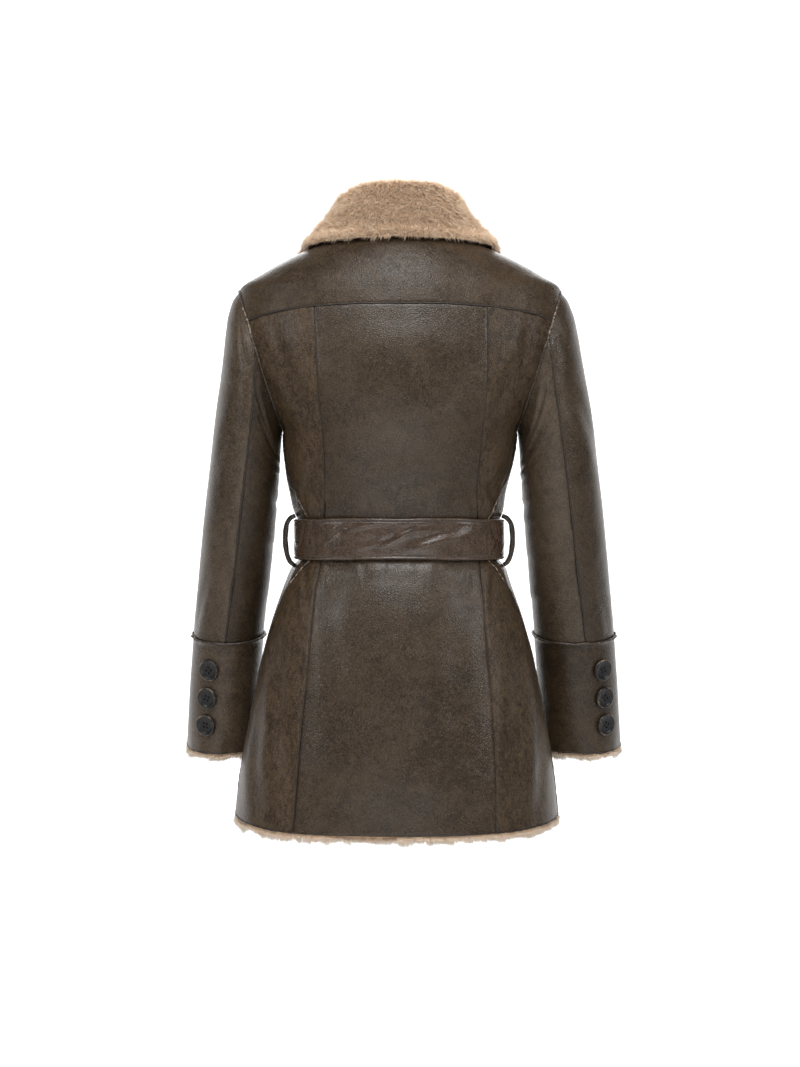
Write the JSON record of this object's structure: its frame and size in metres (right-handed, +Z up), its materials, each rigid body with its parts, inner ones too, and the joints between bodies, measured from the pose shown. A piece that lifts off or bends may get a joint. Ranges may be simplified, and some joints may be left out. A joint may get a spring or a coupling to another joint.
{
  "type": "shearling coat",
  "caption": "Short belted shearling coat with a turned-down pile collar, a back yoke, princess seams, a tied belt in carriers and deep buttoned cuffs.",
  "frame": {"origin": "where the wearer holds it up: midway between the two places where the shoulders meet the neck", "axes": "+Z up, -Y the way the coat faces, +X the wearer's left"},
  "size_m": [0.5606, 0.312, 0.7966],
  "materials": {
    "leather": "waxed, softly mottled, semi-gloss",
    "fur": "plush pile",
    "button_horn": "satin"
  },
  "bodies": {
    "root": {"back_yoke": "leather", "back_centre": "leather", "back_side_left": "leather", "back_side_right": "leather", "front_left": "leather", "front_right": "leather", "lapel_left": "fur", "lapel_right": "fur", "collar": "fur", "sleeve_upper_left": "leather", "sleeve_under_left": "leather", "sleeve_upper_right": "leather", "sleeve_under_right": "leather", "cuff_left": "leather", "cuff_right": "leather", "hem_fur": "fur", "cuff_fur_left": "fur", "cuff_fur_right": "fur", "belt": "leather", "belt_tie": "leather", "belt_loop_left": "leather", "belt_loop_right": "leather", "cuff_button_left_1": "button_horn", "cuff_button_left_2": "button_horn", "cuff_button_left_3": "button_horn", "cuff_button_right_1": "button_horn", "cuff_button_right_2": "button_horn", "cuff_button_right_3": "button_horn"}
  },
  "joints": []
}
